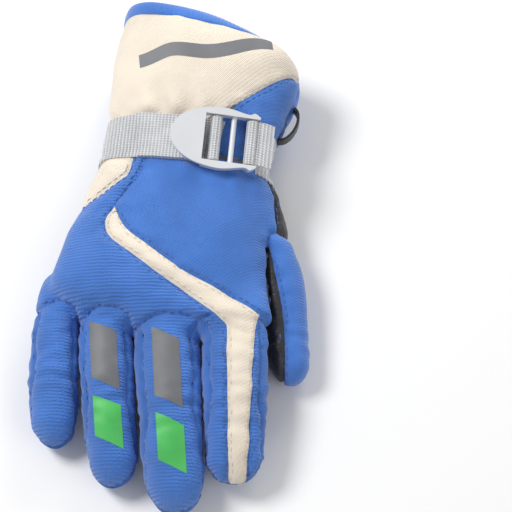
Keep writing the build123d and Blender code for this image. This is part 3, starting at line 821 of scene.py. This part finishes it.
BLUE = srgb("3f74c6")
MAT = {
    "blue": woven("blue twill", BLUE),
    "ribs": ribbed("blue ribbed twill", BLUE),
    "gusset": woven("blue gusset twill", scaled(BLUE, 0.9)),
    "cream": woven("cream twill", srgb("ece0cf"), rough=0.7, spread=0.06),
    "black": grip("black grip", srgb("2b2a2d")),
    "webbing": webbing("grey webbing", srgb("d3d5d8")),
    "buckle": plastic("pale grey plastic", srgb("d4d6da")),
    "grey": film_material("grey film", srgb("686a6e"), 0.55),
    "green": film_material("green film", srgb("45b356"), 0.5),
    "print": film_material("grey print", srgb("6f7175"), 0.6),
    "fleece": pile("dark fleece", srgb("3a3d46")),
    "tape": woven("black tape", srgb("18181b"), rough=0.3, sheen=0.1),
    "binding": woven("blue binding", scaled(BLUE, 1.05), sheen=0.5),
    "thread": woven("cream thread", srgb("e9dcc6"), rough=0.6, spread=0.04),
    "thread_blue": woven("blue thread", scaled(BLUE, 0.8), rough=0.6, spread=0.05),
}


def give(obj, material):
    obj.data.materials.clear()
    obj.data.materials.append(MAT[material])


def dress(obj, material, slot, *nodes):
    """A piece's material and the CAD nodes that it stands for; the slot argument is not used."""
    give(obj, material)
    if nodes:
        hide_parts(*nodes)


PANEL_LOOK = {
    "back_yoke": ("blue", "blue_fabric"), "back_stripe": ("cream", "cream"),
    "back_knuckle_panel": ("ribs", "blue_fabric"), "cuff_back_corner": ("cream", "cream"),
    "palm_grip": ("black", "black_grip"), "palm_panel": ("blue", "blue_fabric"),
    "cuff_back_panel": ("cream", "cream"), "cuff_gusset": ("gusset", "blue_gusset"),
    "cuff_palm_panel": ("blue", "blue_fabric"), "thumb_back": ("blue", "blue_fabric"),
    "thumb_grip": ("black", "black_grip"), "back": ("ribs", "blue_fabric"),
    "palm": ("blue", "blue_fabric"), "gussets": ("gusset", "blue_gusset"),
    "stripe": ("cream", "cream"),
}


def blend_zone(obj, zone):
    """The cuff zone's piece rides on the cuff; any other zone's piece keeps its place, its transform baked
    into the mesh.
    """
    if zone == "cuff":
        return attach(obj, "cuff")
    if zone == "hand":
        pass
    elif zone == "thumb":
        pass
    else:
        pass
    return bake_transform(obj)


def stands_for(zone, label):
    """The CAD nodes that a skin piece stands for."""
    if zone in ("hand", "cuff", "thumb"):
        names = [label]
        names += {"thumb_grip": ["thumb_lining"]}.get(label, [])
    else:
        names = [f"{zone}_{label}"]
        names += [f"{zone}_lining"] if label == "palm" else []
    return [n for n in names if n in NODES]


# ---- the sewn skin ----
def trimmed_at_mouth(verts, tri):
    """Drops what lies past the cuff's mouth and squares the edge off."""
    past = verts @ RIM_NORMAL - RIM_AT
    tri = tri[(past[tri] < 0).all(axis=1)]
    rim = np.unique(open_edges(tri))
    near = rim[past[rim] > -4]
    verts = verts.copy()
    verts[near] -= RIM_NORMAL * (past[near] + 0.2)[:, None]
    return verts, tri


def finger_creases(p):
    """Soft folds across each finger, deepest at its middle joint and its knuckle."""
    out = np.zeros(len(p))
    fingers = np.array([FINGER[n].tube.distance(p) for n in FINGERS])
    nearest = fingers.argmin(axis=0)
    for i, name in enumerate(FINGERS):
        line = FINGER[name]
        t, u = line.coordinates(p)
        bent = t + 0.10 * u * math.sin(i * 2.1 + 0.6) + waves(p, 22.0, 20 + i) * 1.6
        joint = np.exp(-((t - line.first) / 9.0) ** 2)
        knuckle = np.exp(-((t - 3.0) / 8.0) ** 2) * 0.7
        share = (nearest == i) & (t > -12)
        out += share * np.sin(bent * 2 * math.pi / CREASE_STEP) * CREASE * (joint + knuckle)
    return out


def quilt(verts, tri, seams, gather):
    """Pads the panels out between their seams and puckers the cloth beside them."""
    n = vertex_normals(verts, tri)
    d = distance_to(verts, verts[seams])
    puff = PUFF * (1 - np.exp(-((d / PUFF_REACH) ** 1.4)))
    groove = -GROOVE * np.exp(-((d / GROOVE_WIDTH) ** 2))
    beside = np.exp(-d / PUCKER_REACH)
    pucker = waves(verts, 9.0, 3) * PUCKER * beside + waves(verts, 24.0, 5) * UNEVEN
    pulled = np.exp(-(np.maximum(gather - 11, 0) / 9.0) ** 2)
    held = np.exp(-(np.maximum(gather - 9, 0) / 3.0) ** 2)
    puff = puff * (1 - held) - 0.5 * held
    folds = waves(verts * [1.0, 0.22, 0.5], 10.0, 8) * GATHER * pulled * (1 - held)
    creases = finger_creases(verts) * (1 - np.exp(-d / 3.0))
    on_floor = np.clip((verts[:, 2] - 1.0) / 6.0, 0.0, 1.0)
    return verts + n * ((puff + groove + pucker + folds + creases) * on_floor)[:, None]


verts, tri = grow_skin()
verts, tri = trimmed_at_mouth(verts, tri)
zone, label = label_faces(verts, tri)
round_stripe_corner(verts[tri].mean(axis=1), zone, label)
panel = np.where(label == "stripe", "back_stripe", label)  # one strip of cloth
seam_edges, seam_a, seam_b = border_edges(tri, panel)
verts = straighten(verts, seam_edges)
seams = np.unique(seam_edges)
verts = relax(verts, tri, skin_field, rounds=2, keep=np.isin(np.arange(len(verts)),
              np.concatenate([seams, np.unique(open_edges(tri))])))
seams = np.union1d(seams, np.unique(open_edges(tri)))
verts = quilt(verts, tri, seams, np.abs((verts - WRIST) @ ALONG - STRAP_CENTRE))
normals = vertex_normals(verts, tri)
SKIN_TREE = BVHTree.FromPolygons(verts.tolist(), tri.tolist())

for z in np.unique(zone):
    for panel_label in np.unique(label[zone == z]):
        part = tri[(zone == z) & (label == panel_label)]
        if len(part) < 30:
            continue
        name = f"skin_{z}_{panel_label}".replace("_hand_", "_")
        piece = thick_piece(name, verts, normals, part)
        blend_zone(piece, z)
        dress(piece, *PANEL_LOOK[panel_label], *stands_for(z, panel_label))


# ---- films, tapes and bindings ----
def on_skin(plan):
    """The skin's points and normals under plan points, seen from above."""
    points, out_normals = [], []
    for x, y in plan:
        hit, n, _, _ = SKIN_TREE.ray_cast(Vector((x, y, 90)), Vector((0, 0, -1)))
        if hit is None:
            hit, n, _, _ = SKIN_TREE.find_nearest(Vector((x, y, 20)))
        points.append(hit)
        out_normals.append(n)
    n = np.array(out_normals)
    return np.array(points), n / np.linalg.norm(n, axis=1)[:, None]


def grid_triangles(rows, columns, closed=False):
    """Triangles over a grid of points, row by row; closed joins the last column to the first."""
    out = []
    for i in range(rows - 1):
        for k in range(columns if closed else columns - 1):
            a, b = i * columns + k, i * columns + (k + 1) % columns
            c, d = b + columns, a + columns
            out += [(a, b, c), (a, c, d)]
    return np.array(out)


def facing(points, t, n):
    """The triangles, turned to look along the normals."""
    q = points[t]
    across = np.cross(q[:, 1] - q[:, 0], q[:, 2] - q[:, 0])
    return t[:, ::-1] if (across * n[t[:, 0]]).sum() < 0 else t


def film(name, plan, rows, columns, lift=0.3):
    """A pressed film on the skin, over a grid of plan points."""
    points, n = on_skin(plan)
    for _ in range(3):
        g = n.reshape(rows, columns, 3)
        padded_grid = np.pad(g, ((1, 1), (1, 1), (0, 0)), "edge")
        g = (padded_grid[:-2, 1:-1] + padded_grid[2:, 1:-1] + padded_grid[1:-1, :-2]
             + padded_grid[1:-1, 2:] + g * 2)
        n = (g / np.linalg.norm(g, axis=2)[..., None]).reshape(-1, 3)
    t = facing(points, grid_triangles(rows, columns), n)
    edge = np.ones((rows, columns))
    edge[1:-1, 1:-1] = 0
    height = lift * (1 - 0.45 * edge.ravel())
    return thick_piece(name, points + n * height[:, None], n, t, thick=lift + 0.25)


def patch(finger, colour):
    """A slanted reflective patch where its CAD film lies along the finger."""
    node = f"{finger}_patch_{colour}"
    line = FINGER[finger]
    co, _ = node_mesh(node)
    t = (co - line.knuckle) @ line.along
    u = (co - line.knuckle) @ line.side
    u0, u1 = u.min(), u.max()
    left, right = u < u0 + 0.4, u > u1 - 0.4
    corners = (t[left].min(), t[left].max(), t[right].min(), t[right].max())
    rows, columns = 26, 12
    plan = []
    for i in range(rows):
        for k in range(columns):
            a, b = i / (rows - 1), k / (columns - 1)
            low = corners[0] * (1 - b) + corners[2] * b
            high = corners[1] * (1 - b) + corners[3] * b
            p = line.knuckle + line.along * (low + (high - low) * a)
            p = p + line.side * (u0 + (u1 - u0) * b)
            plan.append((p[0], p[1]))
    piece = film(node + "_film", plan, rows, columns)
    blend_zone(piece, f"{finger}_{'base' if colour == 'grey' else 'tip'}")
    dress(piece, colour, "patch_" + colour, node)


def cuff_motif():
    """The plain wave band printed on the cuff, along the CAD print's middle."""
    co, _ = node_mesh("cuff_print")
    lo, hi = co.min(axis=0), co.max(axis=0)
    stations = np.linspace(lo[0] + 2.5, hi[0] - 1.0, 46)
    middle, half = [], 3.4
    for x in stations:
        m = np.abs(co[:, 0] - x) < 4.0
        middle.append((co[m, 1].min() + co[m, 1].max()) / 2)
    kernel = np.ones(7) / 7
    middle = np.convolve(np.pad(middle, 3, "edge"), kernel, "valid")
    slope = np.gradient(middle, stations)
    plan = []
    for x, y, k in zip(stations, middle, slope):
        n = np.array([-k, 1.0]) / math.hypot(k, 1)
        plan += [(x + n[0] * w, y + n[1] * w) for w in np.linspace(-half, half, 8)]
    piece = film("cuff_motif", plan, len(stations), 8, lift=0.22)
    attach(piece, "cuff")
    dress(piece, "print", "print_grey", "cuff_print")


def sleeve_point(angle, inset, off):
    """A point round the sleeve, inset from its skin, off mm from the mouth along RIM_NORMAL."""
    t = -110.0
    for _ in range(8):
        u, w, a, b, roll = (float(v) for v in SLEEVE.at(t))
        c, s = math.cos(angle), math.sin(angle)
        k = 2 / SLEEVE.power
        du = (a - inset) * math.copysign(abs(c) ** k, c)
        dw = (b - inset) * math.copysign(abs(s) ** k, s)
        p = SLEEVE.origin + SLEEVE.along * t + SLEEVE.side * (u + du) + UP * (w + dw)
        t += (p @ RIM_NORMAL - (RIM_AT + off)) / RIM_NORMAL[1]
    return p


def swept(name, profile, turns=112, caps=False):
    """A band round the sleeve through (inset, distance from the mouth) profile points."""
    angles = [2 * math.pi * i / turns for i in range(turns)]
    rings = [[sleeve_point(a, inset, off) for a in angles] for inset, off in profile]
    points = np.array(rings).reshape(-1, 3)
    t = grid_triangles(len(profile), turns, closed=True).tolist()
    last = (len(profile) - 1) * turns
    if caps:
        t.append(list(range(turns))[::-1])
        t.append([last + i for i in range(turns)])
    else:
        for i in range(turns):
            k = (i + 1) % turns
            t += [(last + i, last + k, k), (last + i, k, i)]
    return new_object(name, points, t)


def outward(obj):
    """Turns a closed mesh's faces outwards."""
    bm = bmesh.new()
    bm.from_mesh(obj.data)
    bmesh.ops.recalc_face_normals(bm, faces=bm.faces)
    bm.to_mesh(obj.data)
    bm.free()
    return obj


def mouth_pieces():
    """The binding folded over the mouth, and the pile lining seen inside."""
    around = [(4.6, -5.2), (5.4, -4.6), (5.7, -2.0), (5.3, 0.4), (4.0, 1.3), (2.2, 1.5), (0.4, 1.3),
              (-0.8, 0.5), (-1.25, -1.6), (-1.15, -3.8), (-0.8, -5.0), (-0.2, -5.2), (1.0, -4.0),
              (3.6, -4.0)]
    binding = outward(swept("mouth_binding", around))
    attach(binding, "cuff")
    dress(binding, "binding", "blue_fabric", "cuff_binding")
    deep = [-20, -40, -60, -80, -100, -122]
    outer = [(1.6, d) for d in reversed(deep)] + [(1.6, -0.6)]
    inner = [(4.8, -0.6)] + [(4.8 + 0.5 * math.sin(d), d) for d in (-8, *deep[:-1])] + [(4.8, -119)]
    lining = outward(swept("soft_lining", outer + inner, caps=True))
    blend_zone(lining, "hand")
    dress(lining, "fleece", "fleece", "cuff_lining", "hand_lining")


# ---- strap ----
def strap_surface(columns=11, samples=150):
    """The taut outside of the sleeve under the strap: angles, offsets across, distances."""
    angles = np.radians(np.linspace(-12, 192, samples))
    offsets = np.linspace(-STRAP_HALF, STRAP_HALF, columns)
    radius = np.zeros((samples, columns))
    for i, a in enumerate(angles):
        d = ACROSS * math.cos(a) + UP * math.sin(a)
        for k, s in enumerate(offsets):
            centre = WRIST + ALONG * (STRAP_CENTRE + s)
            hit = SKIN_TREE.ray_cast(Vector(centre + d * 90), Vector(-d))[0]
            radius[i, k] = (np.array(hit) - centre) @ d if hit is not None else radius[i - 1, k]
    for _ in range(10):
        smooth = (radius[:-2] + radius[2:]) / 2
        radius[1:-1] = np.maximum(radius[1:-1], smooth) * 0.6 + smooth * 0.4
    return angles, offsets, radius


def strap_piece(name, node, level, low, high, body):
    """A length of webbing between two x values, level layers above the sleeve."""
    angles, offsets, radius = STRAP
    rows = []
    n = []
    for i, a in enumerate(angles):
        d = ACROSS * math.cos(a) + UP * math.sin(a)
        r = radius[i] + 0.25 + level * 1.5
        line = [WRIST + ALONG * (STRAP_CENTRE + s) + d * q for s, q in zip(offsets, r)]
        if low <= line[len(line) // 2][0] <= high:
            edge = np.abs(offsets) > 9.5
            rows.append([p + d * (1.0 if e else 1.2) for p, e in zip(line, edge)])
            n.append([d] * len(line))
    points, n = np.array(rows).reshape(-1, 3), np.array(n).reshape(-1, 3)
    t = facing(points, grid_triangles(len(rows), len(offsets)), n)
    piece = thick_piece(name, points, n, t, thick=1.15)
    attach(piece, body)
    dress(piece, "webbing", "webbing", node)


def end_fold():
    """The sewn webbing's bend round the buckle's end bar, which the buckle tilts on."""
    bar, axis = joint_at("buckle_tilt")
    axis = axis / np.linalg.norm(axis)
    ahead = ACROSS - axis * (ACROSS @ axis)
    ahead /= np.linalg.norm(ahead)
    up = np.cross(ahead, axis)
    up *= np.sign(up[2])
    turn = np.radians(np.linspace(250, 20, 24))
    radius = 2.7  # the bar's and the webbing's
    line = [ahead * (math.cos(a) * radius) + up * (math.sin(a) * radius) for a in turn]
    heading = [ahead * math.cos(a) + up * math.sin(a) for a in turn]
    for step in (1.5, 3.0, 4.5, 6.0, 7.5):
        line.append(line[len(turn) - 1] + ahead * step - up * (0.11 * step * step))
        heading.append(up)
    across_steps = np.linspace(-STRAP_HALF, STRAP_HALF, 9)
    points = np.array([[bar + q + axis * w for w in across_steps] for q in line])
    n = np.array([[h] * len(across_steps) for h in heading])
    points, n = points.reshape(-1, 3), n.reshape(-1, 3)
    t = facing(points, grid_triangles(len(line), len(across_steps)), n)
    piece = thick_piece("webbing_end_fold", points, n, t, thick=1.1)
    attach(piece, "cuff")
    dress(piece, "webbing", "webbing")


def strap_pieces():
    band, tail, anchor = (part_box(n) for n in ("strap_band", "strap_tail", "strap_anchor"))
    strap_piece("webbing_band", "strap_band", 0, -999, band[1].x * TO_MM, "cuff")
    strap_piece("webbing_anchor", "strap_anchor", 0, anchor[0].x * TO_MM + 6.5, 999, "cuff")
    end_fold()
    strap_piece("webbing_tail", "strap_tail", 1, tail[0].x * TO_MM, tail[1].x * TO_MM, "strap_tail")


def finish_cad_nodes():
    """Materials and softened edges for the CAD pieces that stay."""
    looks = {"buckle": "buckle", "strap_loop": "webbing", "hang_loop": "tape"}
    for node, look in looks.items():
        obj = NODES[node]
        rest = obj.data.attributes.new("rest", "FLOAT_VECTOR", "POINT")
        co = np.empty(len(obj.data.vertices) * 3, np.float32)
        obj.data.vertices.foreach_get("co", co)
        rest.data.foreach_set("vector", co)
        for i in range(max(1, len(obj.material_slots))):
            if obj.material_slots:
                obj.material_slots[i].material = MAT[look]
            else:
                obj.data.materials.append(MAT[look])
        bevel = obj.modifiers.new("edges", "BEVEL")
        bevel.width, bevel.segments, bevel.limit_method = 0.0005, 3, "ANGLE"
        bevel.angle_limit = math.radians(35)


# ---- topstitching ----
STITCH = 2.3  # length of a stitch, in mm
STITCH_STEP = 3.2


def chains(edges):
    """Runs of connected edges as lists of vertices."""
    links = {}
    for a, b in edges.tolist():
        links.setdefault(a, []).append(b)
        links.setdefault(b, []).append(a)
    seen = set()
    ends = [v for v, w in links.items() if len(w) != 2] + list(links)
    for start in ends:
        for step in links[start]:
            if (start, step) in seen:
                continue
            run, here, nxt = [start], start, step
            while nxt is not None and (here, nxt) not in seen:
                seen.update([(here, nxt), (nxt, here)])
                run.append(nxt)
                onward = [v for v in links[nxt] if v != here] if len(links[nxt]) == 2 else []
                here, nxt = nxt, onward[0] if onward else None
            if len(run) > 6:
                yield run


def stitch_places(run, offsets):
    """Centre, direction and normal of each stitch beside a seam."""
    p = verts[run]
    for _ in range(4):
        p[1:-1] = (p[:-2] + 2 * p[1:-1] + p[2:]) / 4
    length = np.concatenate([[0], np.cumsum(np.linalg.norm(np.diff(p, axis=0), axis=1))])
    for s in np.arange(STITCH_STEP, length[-1] - STITCH_STEP, STITCH_STEP):
        here = np.array([np.interp(s, length, p[:, i]) for i in range(3)])
        ahead = np.array([np.interp(s + 1.5, length, p[:, i]) for i in range(3)])
        behind = np.array([np.interp(s - 1.5, length, p[:, i]) for i in range(3)])
        along = ahead - behind
        along /= np.linalg.norm(along) + 1e-9
        _, n, _, _ = SKIN_TREE.find_nearest(Vector(here))
        side = np.cross(np.array(n), along)
        for o in offsets:
            hit, n2, _, _ = SKIN_TREE.find_nearest(Vector(here + side * o))
            yield np.array(hit), along, np.array(n2)


def stitch_shape(centre, along, n):
    """A short rounded thread lying on the cloth."""
    along = along - n * (along @ n)
    along /= np.linalg.norm(along) + 1e-9
    side = np.cross(n, along)
    points = []
    for s, w in ((-1, 0.3), (-0.6, 1), (0.6, 1), (1, 0.3)):
        for angle in (0, 60, 120, 180, 240, 300):
            a = math.radians(angle)
            across, up = 0.3 * w * math.cos(a), 0.24 * w * math.sin(a)
            points.append(centre + along * s * STITCH / 2 + side * across + n * (up + 0.16 * w))
    return points


def stitches():
    """Rows of topstitching beside the seams, one piece for each zone and thread."""
    cream = {"back_stripe", "cuff_back_corner", "cuff_back_panel", "stripe"}
    rows = {}
    a_cream = np.isin(seam_a, list(cream))
    b_cream = np.isin(seam_b, list(cream))
    both_sides, one_side = (-2.0, 2.0), (2.0,)
    for mask, offsets in ((a_cream ^ b_cream, both_sides), (~a_cream & ~b_cream, one_side)):
        for run in chains(seam_edges[mask]):
            for place in stitch_places(run, offsets):
                z = str(zone_of(place[0][None])[0])
                _, _, face, _ = SKIN_TREE.find_nearest(Vector(place[0]))
                thread = "thread" if label[face] in cream else "thread_blue"
                if place[0][2] > 4 and abs((place[0] - WRIST) @ ALONG - STRAP_CENTRE) > 11:
                    rows.setdefault((z, thread), []).append(stitch_shape(*place))
    for (z, thread), shapes in rows.items():
        points, faces = [], []
        for shape in shapes:
            base = len(points)
            points += shape
            for i in range(3):
                for k in range(6):
                    a, b = base + i * 6 + k, base + i * 6 + (k + 1) % 6
                    faces.append((a, b, b + 6, a + 6))
            faces += [tuple(base + k for k in range(5, -1, -1)), tuple(base + 18 + k for k in range(6))]
        piece = new_object(f"stitches_{z}_{thread}", points, faces)
        give(piece, thread)
        blend_zone(piece, z)


for finger, colour in (("middle", "grey"), ("middle", "green"), ("ring", "grey"), ("ring", "green")):
    patch(finger, colour)
cuff_motif()
mouth_pieces()
STRAP = strap_surface()
strap_pieces()
finish_cad_nodes()
stitches()


# ---- floor, light and camera ----
def plain_floor():
    half = 2.2
    corners = [(-half, -half, 0), (half, -half, 0), (half, half, 0), (-half, half, 0)]
    me = bpy.data.meshes.new("floor")
    me.from_pydata(corners, [], [(0, 1, 2, 3)])
    floor = bpy.data.objects.new("floor", me)
    bpy.context.scene.collection.objects.link(floor)
    mat = bpy.data.materials.new("floor")
    mat.use_nodes = True
    shader = mat.node_tree.nodes["Principled BSDF"]
    shader.inputs["Base Color"].default_value = (0.86, 0.86, 0.86, 1)
    shader.inputs["Roughness"].default_value = 0.9
    me.materials.append(mat)


def soft_light(name, place, target, size, power):
    data = bpy.data.lights.new(name, "AREA")
    data.shape, data.size, data.energy = "DISK", size, power
    lamp = bpy.data.objects.new(name, data)
    lamp.location = place
    aim = Vector(target) - Vector(place)
    lamp.rotation_euler = aim.to_track_quat("-Z", "Y").to_euler()
    bpy.context.scene.collection.objects.link(lamp)


def studio():
    soft_light("key", (-0.55, 0.25, 0.85), (0, 0, 0.02), 0.4, 8.2)
    soft_light("fill", (0.8, -0.5, 0.7), (0, 0, 0.02), 0.8, 2.6)
    soft_light("rim", (0.35, 0.9, 0.5), (0, 0, 0.03), 0.5, 3.5)
    world = bpy.data.worlds.new("studio")
    world.use_nodes = True
    world.node_tree.nodes["Background"].inputs["Color"].default_value = (1, 1, 1, 1)
    world.node_tree.nodes["Background"].inputs["Strength"].default_value = 0.42
    bpy.context.scene.world = world
    bpy.context.scene.view_settings.view_transform = "Standard"


def photo_camera():
    """Above the fingers' end, looking down at 68 degrees."""
    data = bpy.data.cameras.new("camera")
    data.sensor_width, data.lens = 36.0, 100.0
    camera = bpy.data.objects.new("camera", data)
    elevation, distance = math.radians(68), 0.65
    side = WRIST[0] * MM + 0.0348
    target = Vector((side, 0.0, 0.02))
    camera.location = target + distance * Vector((0, -math.cos(elevation), math.sin(elevation)))
    camera.rotation_euler = (math.radians(90) - elevation, 0, 0)
    bpy.context.scene.collection.objects.link(camera)
    bpy.context.scene.camera = camera


plain_floor()
studio()
photo_camera()
